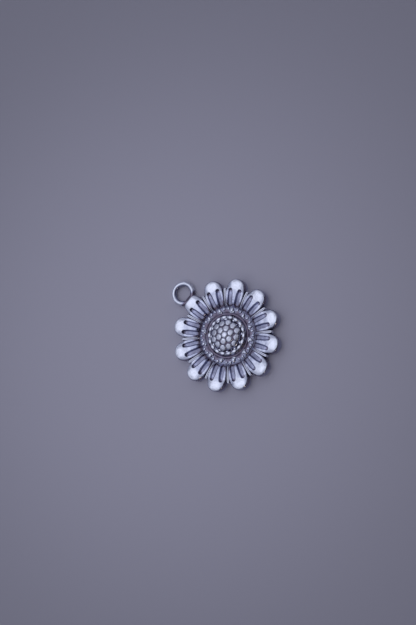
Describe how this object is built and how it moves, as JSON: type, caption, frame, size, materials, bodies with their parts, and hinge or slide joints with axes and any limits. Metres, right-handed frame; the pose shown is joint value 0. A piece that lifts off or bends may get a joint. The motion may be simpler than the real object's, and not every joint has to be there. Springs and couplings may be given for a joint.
{
  "type": "flower pendant",
  "caption": "Cast metal flower pendant with grooved petals, a beaded dome and a closed hanging ring at one petal's tip.",
  "frame": {"origin": "centre of the flower on its flat back", "axes": "+Z out of the flower's face, +Y from the flower's middle to the hanging ring"},
  "size_m": [0.02, 0.0238, 0.0025],
  "materials": {
    "silver_metal": "polished, darkened in the recesses"
  },
  "bodies": {
    "root": {"flower_pendant": "silver_metal"}
  },
  "joints": []
}
